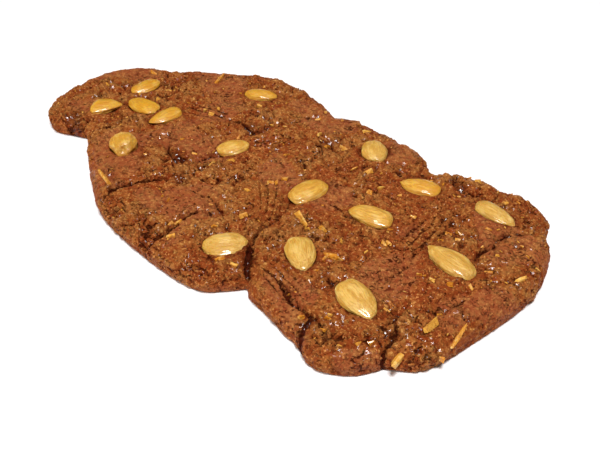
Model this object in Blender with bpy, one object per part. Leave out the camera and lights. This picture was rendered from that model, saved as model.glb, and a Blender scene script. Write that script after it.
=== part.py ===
"""Speculaas figure cookie: a thick flat figure of brown spiced dough, baked in one piece,
with whole blanched almonds and one round hazelnut pressed into its top.

Frame: metres, +Z up. The cookie lies on the plane Z = 0 with the origin under the middle of its outline.
The figure's long axis is X: the head points to -X and the base to +X. Left in a name is the left of
someone looking down at it with the head at the top, which is -Y.
"""

import math

import bmesh
import bpy
from mathutils import Matrix, Vector, geometry, kdtree, noise

MM = 0.001

# ---- Driving dimensions --------------------------------------------------------------------------------
LENGTH = 352 * MM          # head to base
WIDTH = 185 * MM           # across the widest part of the body
THICKNESS = 13.5 * MM      # from the base to the crown of the dough
WIDEST_Z = 4.5 * MM        # height at which the side bulges out furthest
RIM_ROUND = 9.0 * MM       # how far in from the edge the top is still rounded off
FOOT_INSET = 1.6 * MM      # how far the side curls back in where it meets the tray
FOOT_Z = 1.3 * MM          # height at which that curl begins
SWELL = 0.7 * MM           # gentle ups and downs of the risen top
SWELL_WAVE = 48 * MM
CREASE_HALF_WIDTH = 2.8 * MM
SOCKET_GAP = 0.3 * MM      # between a nut and the dough it is pressed into
NUT_RISE = 0.5 * MM        # a nut's middle stands this far above the dough around it

# ---- Mesh fineness -------------------------------------------------------------------------------------
OUTLINE_STEP = 6.5 * MM
RIM_RINGS = (1.3 * MM, 4.0 * MM, 8.6 * MM)      # distance of each ring of points from the edge
CREASE_STEP = 6.5 * MM
CREASE_FLANK = 4.2 * MM
TOP_STEP = 10.5 * MM
NEAREST = 3.4 * MM         # points of the top surface stay this far apart
NUT_RINGS = 9
NUT_SIDES = 14

# ---- The figure's outline ------------------------------------------------------------------------------
# Each stretch runs from one notch to the next, counter-clockwise, in mm. Its first point is the notch and
# the others are where the dough has spread furthest; a smooth curve joins them.
OUTLINE = {
    "head": ((-138, 44), (-163, 33), (-175.5, 0), (-166, -41), (-145, -56.5), (-126, -51)),
    "side_left": ((-116, -46), (-87, -63.5), (-42, -86), (8, -91), (46, -88), (59, -78)),
    "cuff_left": ((66, -69), (70, -73), (88, -75.3), (102, -78)),
    "foot_left": ((108, -78), (124, -83), (140, -74)),
    "base": ((148, -61), (162, -49), (170, -19), (176, 22), (170.5, 50)),
    "foot_right": ((160, 64), (156, 77), (140, 86), (128, 86)),
    "cuff_right": ((120, 83), (100, 81)),
    "hip_right": ((81, 71), (65, 83), (36, 85.5), (10, 86)),
    "side_right": ((-4, 79.5), (-22, 87.5), (-55, 92), (-86, 87), (-108, 70), (-128, 57)),
}

# ---- Creases where the parts of the figure ran together: depth in mm, then the route in mm --------------
CREASES = {
    "chest_left": (3.2, ((-42, -83), (-42, -74), (-40, -64), (-33, -50), (-24, -44), (-2, -42), (22, -47))),
    "arm_left": (3.4, ((9, -87), (10, -74), (7, -62), (11, -52), (24, -48))),
    "collar_left": (2.6, ((-64, -22), (-54, -26), (-42, -29), (-32, -22), (-26, -8))),
    "collar_right": (3.0, ((-52, 27), (-38, 26), (-25, 22), (-25, 36), (-16, 55), (-5, 74))),
    "belly_right": (2.4, ((6, 45), (19, 39), (23, 29), (24, 16))),
    "waist": (3.4, ((66, -66), (54, -55), (46, -42), (44, -28), (40, -13))),
    "cuff_left": (2.8, ((82, -61), (92, -66), (108, -68), (120, -66))),
    "cuff_right": (2.6, ((86, 68), (96, 68), (106, 65), (120, 70))),
    "hem": (2.0, ((122, 58), (115, 40), (109, 22), (104, 8), (90, 4))),
    "skirt": (2.2, ((126, 40), (119, 14), (120, -8), (121, -28))),
    "base_left": (2.8, ((146, -57), (143, -48), (137, -40), (136, -30))),
    "base_right": (2.6, ((156, 60), (146, 48), (144, 30), (152, 2), (150, -24))),
}

# ---- The nuts: x and y of the middle, the way the tip points in degrees, length, width, thickness in mm --
NUTS = {
    "almond_head_back": (-129, 11, -101, 22.0, 14.5, 8.0),
    "almond_head_left": (-126, -24, 51, 21.0, 17.0, 8.5),
    "almond_head_middle": (-108, -6, 8, 26.0, 15.5, 8.0),
    "almond_head_front": (-85, -5, -102, 24.0, 14.0, 8.0),
    "almond_chest_right": (-59, 61, 28, 23.0, 13.5, 7.5),
    "hazelnut_chest_left": (-75, -45, -33, 19.0, 17.5, 13.0),
    "almond_chest_middle": (-24, 2, -118, 20.5, 14.0, 8.0),
    "almond_waist_right": (44, 60, -124, 20.5, 17.0, 9.5),
    "almond_waist_middle": (42.5, 1, 73, 26.0, 16.5, 9.0),
    "almond_skirt_right": (87, 49, -160, 23.5, 14.0, 8.0),
    "almond_skirt_middle": (83, 8, -159, 25.5, 15.0, 8.5),
    "almond_foot_right": (132, 57, -4, 24.5, 13.5, 8.5),
    "almond_waist_left": (42, -63, 53, 24.5, 16.5, 9.0),
    "almond_skirt_left": (76, -41, -34, 23.0, 16.5, 8.5),
    "almond_base_middle": (135, 8, 178, 28.0, 15.5, 9.0),
    "almond_foot_left": (118, -46, -14, 24.5, 17.0, 9.5),
}
BUTT_POWER = 0.50          # a round end has 0.5
ALMOND_TIP_POWER = 0.68    # nearer to 1 is more pointed
HAZELNUT_TIP_POWER = 0.56

DOUGH_COLOUR = (0.289, 0.085, 0.024, 1.0)
NUT_COLOUR = (0.694, 0.384, 0.094, 1.0)


def clear_scene():
    """Removes what the scene starts with."""
    for thing in list(bpy.data.objects):
        bpy.data.objects.remove(thing)


def new_collection(name):
    made = bpy.data.collections.new(name)
    bpy.context.scene.collection.children.link(made)
    return made


def finish(name, colour, roughness):
    """A plain Principled material."""
    made = bpy.data.materials.new(name)
    made.use_nodes = True
    shader = made.node_tree.nodes["Principled BSDF"]
    shader.inputs["Base Color"].default_value = colour
    shader.inputs["Roughness"].default_value = roughness
    shader.inputs["Metallic"].default_value = 0.0
    return made


# ---- Lines ---------------------------------------------------------------------------------------------
def smooth_line(points, step):
    """A smooth open curve through flat points, as even points about one step apart."""
    ends = [2 * points[0] - points[1], *points, 2 * points[-1] - points[-2]]
    fine = []
    for before, start, end, after in zip(ends, ends[1:], ends[2:], ends[3:]):
        handle_a = start + (end - before) / 6
        handle_b = end - (after - start) / 6
        fine += geometry.interpolate_bezier(start, handle_a, handle_b, end, 24)[:-1]
    return even_points(fine + [points[-1]], step)


def even_points(line, step):
    """Points at equal distances along a line, its two ends included."""
    lengths = [(b - a).length for a, b in zip(line, line[1:])]
    count = max(2, round(sum(lengths) / step))
    spacing = sum(lengths) / count
    even, done, wanted = [line[0].copy()], 0.0, spacing
    for a, b, length in zip(line, line[1:], lengths):
        while len(even) < count and done + length >= wanted:
            even.append(a.lerp(b, (wanted - done) / length))
            wanted += spacing
        done += length
    return even + [line[-1].copy()]


def outline_points(step):
    """The figure's outline as a counter-clockwise ring of flat points, sized to LENGTH by WIDTH."""
    stretches = [[Vector(p) * MM for p in points] for points in OUTLINE.values()]
    ring = []
    for points, following in zip(stretches, stretches[1:] + stretches[:1]):
        ring += smooth_line(points + [following[0]], step)[:-1]
    low = Vector((min(p.x for p in ring), min(p.y for p in ring)))
    high = Vector((max(p.x for p in ring), max(p.y for p in ring)))
    middle, size = (low + high) / 2, high - low
    return [Vector(((p.x - middle.x) * LENGTH / size.x, (p.y - middle.y) * WIDTH / size.y)) for p in ring]


def inward(ring, index):
    """The unit direction into the figure at one point of a counter-clockwise ring."""
    along = (ring[(index + 1) % len(ring)] - ring[index - 1]).normalized()
    return Vector((-along.y, along.x))


# ---- The shape of the dough's top ----------------------------------------------------------------------
def tree_of(points):
    """A nearest-point search over flat points."""
    tree = kdtree.KDTree(len(points))
    for index, point in enumerate(points):
        tree.insert(point.to_3d(), index)
    tree.balance()
    return tree


EDGE = tree_of(outline_points(1 * MM))
CREASE_LINES = [
    (depth * MM, smooth_line([Vector(p) * MM for p in route], 1 * MM)) for depth, route in CREASES.values()
]
CREASE_TREES = [(depth, tree_of(line)) for depth, line in CREASE_LINES]


def distance(tree, point):
    return tree.find(point.to_3d())[2]


def top_height(point):
    """Height of the dough's top over a flat point: a rounded rim, a swollen middle and the creases."""
    from_edge = distance(EDGE, point)
    across = max(0.0, 1 - from_edge / RIM_ROUND)
    rim = math.sqrt(max(0.0, 1 - across ** 2))
    swell = SWELL * noise.noise(point.to_3d() / SWELL_WAVE)
    groove = max(
        depth * math.exp(-((distance(tree, point) / CREASE_HALF_WIDTH) ** 2)) for depth, tree in CREASE_TREES
    )
    return WIDEST_Z + (THICKNESS - WIDEST_Z + swell - groove) * rim


def top_points(ring):
    """The flat points that the top surface is built on: rim rings, creases, then an even field."""
    points = list(ring)

    def add(candidates, clearance, margin):
        for point in candidates:
            tree = tree_of(points)
            if distance(tree, point) > clearance and inside(point, ring) and distance(EDGE, point) > margin:
                points.append(point)

    for offset in RIM_RINGS:
        add([p + inward(ring, i) * offset for i, p in enumerate(ring)], 0.0, 0.9 * offset)
    for _, route in CREASE_LINES:
        line = even_points(route, CREASE_STEP)
        add(line, NEAREST, RIM_RINGS[0])
        sides = [
            p + side * CREASE_FLANK * inward(line, i)
            for i, p in enumerate(line[1:-1], start=1)
            for side in (1, -1)
        ]
        add(sides, NEAREST, RIM_RINGS[1])
    add(even_field(), 0.62 * TOP_STEP, RIM_RINGS[-1] + NEAREST)
    return points


def even_field():
    """A triangular grid of flat points over the figure's box."""
    row_step = TOP_STEP * math.sqrt(3) / 2
    rows, columns = int(WIDTH / row_step) + 1, int(LENGTH / TOP_STEP) + 2
    return [
        Vector((-LENGTH / 2 + (column + 0.5 * (row % 2)) * TOP_STEP, -WIDTH / 2 + row * row_step))
        for row in range(rows)
        for column in range(columns)
    ]


def inside(point, ring):
    """Whether a flat point lies inside the ring, by counting crossings."""
    crossings = 0
    for a, b in zip(ring, ring[1:] + ring[:1]):
        if (a.y > point.y) != (b.y > point.y) and point.x < a.x + (point.y - a.y) / (b.y - a.y) * (b.x - a.x):
            crossings += 1
    return crossings % 2 == 1


# ---- The solids ----------------------------------------------------------------------------------------
def make_dough(collection):
    """The dough: a relief top triangulated over the outline, a curled side and a flat base."""
    ring = outline_points(OUTLINE_STEP)
    edges = [(i, (i + 1) % len(ring)) for i in range(len(ring))]
    flat, _, triangles, *_ = geometry.delaunay_2d_cdt(top_points(ring), edges, [], 1, 1e-6)
    mesh = bpy.data.meshes.new("dough")
    mesh.from_pydata([(p.x, p.y, top_height(p)) for p in flat], [], triangles)
    body = bmesh.new()
    body.from_mesh(mesh)
    for drop, inset in ((FOOT_Z, 0.25 * FOOT_INSET), (0.0, FOOT_INSET)):
        curl_side(body, drop, inset)
    bmesh.ops.edgeloop_fill(body, edges=[e for e in body.edges if e.is_boundary])
    body.normal_update()
    bmesh.ops.recalc_face_normals(body, faces=body.faces)
    body.to_mesh(mesh)
    body.free()
    mesh.shade_smooth()
    mesh.set_sharp_from_angle(angle=math.radians(50))
    dough = bpy.data.objects.new("dough", mesh)
    mesh.materials.append(finish("baked dough", DOUGH_COLOUR, 0.5))
    collection.objects.link(dough)
    return dough


def curl_side(body, height, inset):
    """Extrudes the open edge down to a height, moved in from the outline by the inset."""
    open_edges = [e for e in body.edges if e.is_boundary]
    made = bmesh.ops.extrude_edge_only(body, edges=open_edges)["geom"]
    ring = outline_points(OUTLINE_STEP)
    places = tree_of(ring)
    for vert in [g for g in made if isinstance(g, bmesh.types.BMVert)]:
        _, index, _ = places.find((vert.co.x, vert.co.y, 0))
        spot = ring[index] + inward(ring, index) * inset
        vert.co = Vector((spot.x, spot.y, height))


def nut_mesh(name, length, width, thickness, tip_power, grow=0.0):
    """A nut lying along X with its tip at +X. grow moves its whole surface outwards."""
    widest = (BUTT_POWER - tip_power) / (BUTT_POWER + tip_power)
    fullest = nut_girth(widest, tip_power)
    body = bmesh.new()
    bmesh.ops.create_uvsphere(body, u_segments=NUT_SIDES, v_segments=NUT_RINGS, radius=1.0)
    for vert in body.verts:
        along = max(-1.0, min(1.0, vert.co.z))
        around = Vector((vert.co.x, vert.co.y))
        if around.length > 1e-6:
            around.normalize()
        girth = nut_girth(along, tip_power) / fullest
        vert.co = Vector((
            along * (length / 2 + grow),
            around.x * girth * (width / 2 + grow),
            around.y * girth * (thickness / 2 + grow),
        ))
    mesh = bpy.data.meshes.new(name)
    body.to_mesh(mesh)
    body.free()
    mesh.shade_smooth()
    return mesh


def nut_girth(along, tip_power):
    """Relative girth of a nut from its round end at -1 to its tip at +1."""
    return ((1 + along) / 2) ** BUTT_POWER * ((1 - along) / 2) ** tip_power


def dough_slope(spot):
    """The upward direction of the dough's swollen top at a flat point, creases left out of account."""
    reach = 8 * MM
    rise_x = top_height(spot + Vector((reach, 0))) - top_height(spot - Vector((reach, 0)))
    rise_y = top_height(spot + Vector((0, reach))) - top_height(spot - Vector((0, reach)))
    return Vector((-rise_x, -rise_y, 2 * reach)).normalized()


def nut_place(x, y, tip_degrees):
    """Where a nut sits: its middle just above the dough, lying along the dough's slope."""
    spot = Vector((x, y)) * MM
    up = (dough_slope(spot) + Vector((0, 0, 1))).normalized()
    turn = math.radians(tip_degrees)
    across = up.cross(Vector((math.cos(turn), math.sin(turn), 0))).normalized()
    along = across.cross(up)
    around = [spot + Vector((math.cos(a), math.sin(a))) * 6 * MM for a in (0, 1.57, 3.14, 4.71)]
    height = sum(top_height(p) for p in around) / len(around) + NUT_RISE
    turned = Matrix((along, across, up)).transposed().to_4x4()
    return Matrix.Translation((spot.x, spot.y, height)) @ turned


def make_nuts(collection, cutters):
    """Every nut as its own object, and for each a slightly larger cutter for its socket."""
    shell = finish("blanched nut", NUT_COLOUR, 0.3)
    for name, (x, y, tip_degrees, length, width, thickness) in NUTS.items():
        tip_power = HAZELNUT_TIP_POWER if name.startswith("hazelnut") else ALMOND_TIP_POWER
        size = (length * MM, width * MM, thickness * MM)
        place = nut_place(x, y, tip_degrees)
        nut = bpy.data.objects.new(name, nut_mesh(name, *size, tip_power))
        nut.data.materials.append(shell)
        nut.matrix_world = place
        collection.objects.link(nut)
        cutter = bpy.data.objects.new(name + "_socket", nut_mesh(name + "_socket", *size, tip_power, SOCKET_GAP))
        cutter.matrix_world = place
        cutter.hide_render = True
        cutter.display_type = "WIRE"
        cutters.objects.link(cutter)


def cut_sockets(dough, cutters):
    """Presses the nuts into the dough."""
    cut = dough.modifiers.new("Sockets", "BOOLEAN")
    cut.operation = "DIFFERENCE"
    cut.operand_type = "COLLECTION"
    cut.collection = cutters
    cut.solver = "EXACT"


def main():
    clear_scene()
    cookie = new_collection("speculaas_figure")
    cutters = new_collection("socket_cutters")
    dough = make_dough(cookie)
    make_nuts(cookie, cutters)
    cut_sockets(dough, cutters)


main()
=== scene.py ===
import math
import random

import bmesh
import bpy
import numpy as np
from mathutils import Matrix, Vector, kdtree, noise
from mathutils.bvhtree import BVHTree


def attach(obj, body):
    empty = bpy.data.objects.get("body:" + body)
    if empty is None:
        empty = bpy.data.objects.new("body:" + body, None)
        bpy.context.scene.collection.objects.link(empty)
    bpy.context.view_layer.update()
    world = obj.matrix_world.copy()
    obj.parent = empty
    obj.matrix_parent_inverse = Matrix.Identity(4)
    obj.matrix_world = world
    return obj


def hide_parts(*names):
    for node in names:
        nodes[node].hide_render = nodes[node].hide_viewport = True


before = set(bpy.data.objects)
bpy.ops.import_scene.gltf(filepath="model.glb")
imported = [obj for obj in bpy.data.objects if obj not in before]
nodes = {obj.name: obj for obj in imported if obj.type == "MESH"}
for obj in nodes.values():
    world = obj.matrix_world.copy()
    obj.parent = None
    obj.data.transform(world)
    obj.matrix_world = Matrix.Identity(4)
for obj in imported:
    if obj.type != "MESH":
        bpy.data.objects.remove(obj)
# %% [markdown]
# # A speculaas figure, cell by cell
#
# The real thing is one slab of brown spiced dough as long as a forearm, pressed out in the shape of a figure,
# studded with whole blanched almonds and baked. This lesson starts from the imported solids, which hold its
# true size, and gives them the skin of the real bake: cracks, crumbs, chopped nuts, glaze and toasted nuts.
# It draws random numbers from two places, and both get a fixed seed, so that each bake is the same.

MM = 0.001
NOISE_SEED = 19
noise.seed_set(NOISE_SEED)  # noise_vector would take its offsets from the clock
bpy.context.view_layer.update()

# %% [markdown]
# ## The camera and the light
#
# The cookie lies on a pale table and is seen from 41 cm away, from between its long side and its wide end,
# looking down at 40 degrees. A camera is easiest to place from numbers: a position, and a direction built
# from a compass angle and an elevation.
#
# The light is a studio's. A firm key lamp, nearly overhead, models the lumps and cracks; two panels and a
# room with warm walls fill the shadows and keep them brown. Those three are hidden from reflections, because
# a broad one lays a grey sheen on dark dough. The soft box does the opposite: it adds no light of its own to
# the surface, and is seen only as small white glints in the glaze and on the nuts.

# %% The camera
VIEW_AZIMUTH, VIEW_ELEVATION = 43.5, 40.0
EYE = Vector((246.1, -220.7, 240.0)) * MM
LENS, SENSOR = 39.0, 36.0


def toward(azimuth, elevation):
    """The unit vector from the object towards a compass angle and an elevation, in degrees."""
    a, e = math.radians(azimuth), math.radians(elevation)
    return Vector((math.sin(a) * math.cos(e), -math.cos(a) * math.cos(e), math.sin(e)))


camera = bpy.data.objects.new("camera", bpy.data.cameras.new("camera"))
camera.data.lens, camera.data.sensor_width = LENS, SENSOR
camera.data.clip_start, camera.data.clip_end = 0.01, 20.0
camera.location = EYE
camera.rotation_mode = "QUATERNION"
camera.rotation_quaternion = (-toward(VIEW_AZIMUTH, VIEW_ELEVATION)).to_track_quat("-Z", "Y")
bpy.context.scene.collection.objects.link(camera)
bpy.context.scene.camera = camera
print("camera", round(EYE.length, 3), "m from the middle of the cookie")

# %% The lamps and the room
def area_lamp(name, azimuth, elevation, distance, side, power, colour=(1.0, 1.0, 1.0)):
    """A square lamp that faces the middle of the cookie."""
    lamp = bpy.data.objects.new(name, bpy.data.lights.new(name, "AREA"))
    lamp.data.size, lamp.data.energy, lamp.data.color = side, power, colour
    direction = toward(azimuth, elevation)
    lamp.location = direction * distance
    lamp.rotation_mode = "QUATERNION"
    lamp.rotation_quaternion = (-direction).to_track_quat("-Z", "Y")
    bpy.context.scene.collection.objects.link(lamp)
    return lamp


area_lamp("key lamp", azimuth=VIEW_AZIMUTH + 12, elevation=74, distance=1.6, side=0.40, power=25.5,
          colour=(0.99, 1.0, 1.02))
for panel in (
    area_lamp("back panel", azimuth=VIEW_AZIMUTH + 165, elevation=32, distance=1.5, side=0.8, power=5),
    area_lamp("side panel", azimuth=VIEW_AZIMUTH - 70, elevation=24, distance=1.6, side=0.7, power=9),
):
    panel.visible_glossy = False
soft_box = area_lamp("soft box", azimuth=VIEW_AZIMUTH + 60, elevation=88, distance=1.2, side=0.30, power=7.0)
soft_box.visible_diffuse = False

WALLS, ROOM_STRENGTH = (1.0, 0.66, 0.46, 1.0), 0.17
world = bpy.data.worlds.new("warm room")
world.use_nodes = True
world.node_tree.nodes["Background"].inputs["Color"].default_value = WALLS
world.node_tree.nodes["Background"].inputs["Strength"].default_value = ROOM_STRENGTH
world.cycles_visibility.glossy = False
bpy.context.scene.world = world
bpy.context.scene.view_settings.view_transform = "Standard"

# %% [markdown]
# ## A small language for materials
#
# A material in Blender is a graph of nodes. Wiring one by hand hides the idea behind it, so two small helpers
# come first. `Value` wraps a socket, and ordinary arithmetic on it adds the Math nodes: `1 - mask` works.
# `Material.node` adds any other node from its type, its settings and the values or links of its sockets.

# %% Values with arithmetic
class Value:
    """A number that varies over the surface: a socket that can be added, scaled and mixed."""

    def __init__(self, made_in, socket):
        self.made_in, self.socket = made_in, socket

    def _math(self, operation, first, second=0.0):
        return self.made_in.node("ShaderNodeMath", {"operation": operation}, {0: first, 1: second})

    def __add__(self, other):
        return self._math("ADD", self, other)

    def __sub__(self, other):
        return self._math("SUBTRACT", self, other)

    def __mul__(self, other):
        return self._math("MULTIPLY", self, other)

    def __rsub__(self, other):
        return self._math("SUBTRACT", other, self)

    __radd__, __rmul__ = __add__, __mul__

    def clamp(self):
        return self.made_in.node("ShaderNodeClamp", {}, {"Value": self})

    def between(self, low, high):
        """0 below low and 1 above high, with a smooth rise between them."""
        settings = {"interpolation_type": "SMOOTHSTEP"}
        inputs = {"Value": self, "From Min": low, "From Max": high}
        return self.made_in.node("ShaderNodeMapRange", settings, inputs)


class Material:
    """A material being built, with its Principled shader."""

    MIX_FACTOR, MIX_FIRST, MIX_SECOND, MIX_RESULT = 0, 6, 7, 2  # the Mix node's sockets for colours

    def __init__(self, name):
        self.made = bpy.data.materials.new(name)
        self.made.use_nodes = True
        self.tree = self.made.node_tree
        self.shader = self.tree.nodes["Principled BSDF"]
        self.place = self.node("ShaderNodeTexCoord", {}, {}, "Object")

    def plug(self, socket, value):
        """Puts a number, a colour or another node's output into a socket."""
        if isinstance(value, Value):
            self.tree.links.new(value.socket, socket)
        else:
            socket.default_value = value

    def node(self, kind, settings, inputs, output=0):
        """Any node: its type, its settings, its inputs by name or number. Gives one of its outputs."""
        made = self.tree.nodes.new(kind)
        for name, value in settings.items():
            setattr(made, name, value)
        for name, value in inputs.items():
            self.plug(made.inputs[name], value)
        return Value(self, made.outputs[output])

    def set(self, **sockets):
        """Feeds the shader's sockets. An underscore stands for a space in a socket's name."""
        for name, value in sockets.items():
            self.plug(self.shader.inputs[name.replace("_", " ")], value)

    def attribute(self, name):
        """A number that the mesh carries at each of its points."""
        return self.node("ShaderNodeAttribute", {"attribute_name": name}, {}, "Fac")

    def noise(self, size, detail=3.0, roughness=0.55, place=None):
        """Clouds with blotches about one size across, in metres."""
        inputs = {"Vector": place or self.place, "Scale": 1 / size, "Detail": detail, "Roughness": roughness}
        return self.node("ShaderNodeTexNoise", {}, inputs)

    def mix(self, factor, first, second, blend="MIX"):
        """Two colours mixed by a factor."""
        made = self.tree.nodes.new("ShaderNodeMix")
        made.data_type, made.blend_type, made.clamp_factor = "RGBA", blend, True
        self.plug(made.inputs[self.MIX_FACTOR], factor)
        for index, value in ((self.MIX_FIRST, first), (self.MIX_SECOND, second)):
            self.plug(made.inputs[index], value if isinstance(value, Value) else (*value, 1.0))
        return Value(self, made.outputs[self.MIX_RESULT])

    def paint(self, ground, *coats):
        """A ground colour with coats of colour over it, each given as (how much of it covers, colour)."""
        for cover, colour in coats:
            ground = self.mix(cover, ground, colour)
        return ground

    def bump(self, height, distance):
        """A normal that follows a height, full scale at a distance in metres."""
        return self.node("ShaderNodeBump", {}, {"Height": height, "Distance": distance})


print("helpers ready")

# %% [markdown]
# ## Where the figure has cracked
#
# The dough was pressed together from rolls, and as it baked the seams opened: at the collar, the arms, the
# waist, the cuffs and the hem. A crack is easiest to describe as a line on a plan with a depth and a width.
# Each line gets some wander, because a crack in dough is never a clean curve, and fades out at both ends.
# The pits are places where a bubble burst and syrup gathered: a middle, a radius and a depth.

# %% The cracks: depth and half width, then the points they run through, all in mm
CRACKS = [
    (3.2, 0.9, ((-38, -89), (-43, -76), (-40, -64), (-33, -50), (-26, -44))),
    (1.5, 0.6, ((-26, -44), (-5, -43), (6, -41), (16, -45), (24, -48))),
    (3.2, 0.9, ((10, -94), (10, -82), (10, -74), (7, -62), (9, -53), (10, -50))),
    (1.6, 0.7, ((-57, -49), (-60, -41), (-63, -30), (-64, -23))),
    (2.4, 1.0, ((-60, -22), (-48, -29), (-37, -30), (-32, -23))),
    (1.6, 0.7, ((-32, -23), (-27, -9), (-17, -2))),
    (3.0, 1.1, ((-51, 27), (-41, 27), (-33, 25), (-25, 22))),
    (1.7, 0.7, ((-27, 24), (-22, 41), (-16, 55), (-6, 65), (-1, 74))),
    (2.2, 0.8, ((5, 44), (19, 39), (25, 30), (20, 21), (30, 14))),
    (2.2, 0.8, ((40, -12), (43, -21), (45, -31), (46, -43), (52, -54))),
    (4.4, 0.95, ((50, -52), (54, -57), (58, -61), (66, -70))),
    (1.3, 0.7, ((48, -13), (53, -31), (58, -48))),
    (2.2, 0.6, ((58, 1), (64, 2), (74, -1), (82, -1))),
    (1.3, 0.6, ((119, 59), (115, 40), (110, 25), (106, 12), (101, 4), (91, 4))),
    (1.5, 0.6, ((124, 53), (121, 36), (118, 14), (119, -1), (120, -9), (120, -26), (123, -33))),
    (2.2, 0.8, ((150, -1), (143, 22), (144, 34), (144, 43), (148, 52), (164, 60))),
    (2.2, 0.8, ((154, -7), (153, -18), (148, -26), (144, -32))),
    (1.6, 0.7, ((153, -8), (158, -17), (166, -23))),
    (3.2, 0.9, ((80, -60), (90, -66), (101, -68), (110, -68), (119, -71))),
    (4.4, 1.1, ((109, -68), (112, -78), (114, -88))),
    (2.8, 0.8, ((154, -70), (147, -62), (145, -55), (143, -48), (139, -44), (138, -36))),
    (2.0, 0.8, ((134, -63), (141, -59), (146, -61))),
    (1.8, 0.8, ((88, 69), (96, 68), (105, 65), (114, 68), (123, 68), (123, 80))),
    (1.8, 0.7, ((146, 36), (158, 42), (164, 43))),
    (2.2, 0.9, ((-140, 46), (-134, 36), (-128, 30))),
    (1.8, 0.9, ((-132, -58), (-126, -48), (-117, -40), (-104, -33))),
    (1.2, 0.6, ((-110, 32), (-92, 26), (-76, 30), (-62, 24))),
    (1.2, 0.6, ((-92, -22), (-80, -26), (-70, -20), (-58, -12))),
    (1.2, 0.6, ((-10, 14), (2, 8), (12, 10), (22, 2))),
    (1.2, 0.6, ((98, -40), (104, -26), (100, -14), (106, -4))),
    (1.2, 0.6, ((88, 30), (98, 34), (104, 44), (112, 46))),
    (1.2, 0.6, ((56, 28), (64, 38), (62, 50), (70, 58))),
]
# The pits: x, y, radius and depth in mm.
PITS = [(-131, -47, 4, 2.2), (-124, -50, 3, 1.6), (-46, -26, 4, 2.2), (-38, -29, 4, 2.0), (-37, 27, 4, 2.4),
        (-29, 24, 3, 2.0), (17, 47, 4, 1.8), (22, 43, 3, 1.4), (58, -62, 4, 2.0), (62, -66, 3, 2.0),
        (-25, -42, 3, 1.2), (112, -73, 3, 1.4), (142, -52, 2.5, 1.2), (104, 66, 3, 1.2), (-56, -44, 2.5, 0.8)]


STEP, SWAY = 1.0, 1.1
BROAD_TURNS, FINE_TURNS = 0.22, 0.7  # how quickly the sway changes, in blotches of noise per mm


def wandering(route):
    """A smooth curve through flat points in mm, as short steps that sway a little."""
    line = [Vector(p) for p in route]
    ends = [2 * line[0] - line[1], *line, 2 * line[-1] - line[-2]]
    made = []
    for before, start, end, after in zip(ends, ends[1:], ends[2:], ends[3:]):
        count = max(2, round((end - start).length / STEP))
        for i in range(count):
            t = i / count
            smooth = (start * 2 + (end - before) * t + (2 * before - 5 * start + 4 * end - after) * t ** 2
                      + (3 * start - before - 3 * end + after) * t ** 3) / 2
            push = noise.noise_vector((smooth.x * BROAD_TURNS, smooth.y * BROAD_TURNS, 3.0)) * SWAY
            push += noise.noise_vector((smooth.x * FINE_TURNS, smooth.y * FINE_TURNS, 9.0)) * 0.5 * SWAY
            made.append((smooth.x + push.x, smooth.y + push.y))
    return np.array(made)


crack_lines = [(depth, half_width, wandering(route)) for depth, half_width, route in CRACKS]
print("crack length in mm:", round(sum(len(line) for _, _, line in crack_lines)))

# %% [markdown]
# ## The nuts' places
#
# Each solid nut already lies where the real one does. Its own axes can be read back from its points: the
# directions in which they spread furthest and least are its length and its thickness. The pointed end reaches
# further from the mean of the points than the round one, so the sign of a cubed sum tells where the tip is.

# %% Reading each nut's length, width, thickness and tip
UPRIGHT = 0.6  # an axis that rises more steeply than this can be a nut's thickness


def nut_frame(node):
    """The nut's placing matrix (x to the tip, z up) and its three sizes, in metres."""
    points = np.unique(np.array([v.co[:] for v in node.data.vertices]).round(7), axis=0)
    middle = points.mean(0)
    axes = np.linalg.eigh(np.cov((points - middle).T))[1]
    along, up = axes[:, 2], axes[:, 0]
    if abs(up[2]) < UPRIGHT < abs(axes[2, 1]):
        up = axes[:, 1]
    up = up if up[2] > 0 else -up
    if (((points - middle) @ along) ** 3).sum() < 0:
        along = -along
    across = np.cross(up, along)
    sizes = [np.ptp(points @ axis) for axis in (along, across, up)]
    centre = sum(axis * ((points @ axis).max() + (points @ axis).min()) / 2 for axis in (along, across, up))
    placed = Matrix((along.tolist(), across.tolist(), up.tolist())).transposed().to_4x4()
    return Matrix.Translation(Vector(centre.tolist())) @ placed, sizes


NUT_NAMES = sorted(name for name in nodes if name != "dough")
nut_frames = {name: nut_frame(nodes[name]) for name in NUT_NAMES}
for name, (_, sizes) in nut_frames.items():
    print(name, "x".join(f"{s / MM:.1f}" for s in sizes), "mm")

# %% [markdown]
# ## The dough
#
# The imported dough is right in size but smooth. A real bake is a rough skin over that shape, so the solid is
# copied and rebuilt as an even net of small squares with the Remesh modifier in voxel mode, fine enough to
# carry cracks and crumbs. The underside stays flat, so it needs no such net: its squares are taken away and
# one flat face closes the hole. Then every point is moved a little, by sums of simple rules. Bump nodes alone
# would not do: a crack is deep enough to hold a shadow and to break the outline.

# %% The net of small squares
VOXEL = 0.90 * MM
UNDERSIDE = 0.55 * VOXEL  # faces that lie wholly below this height are underneath


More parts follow.
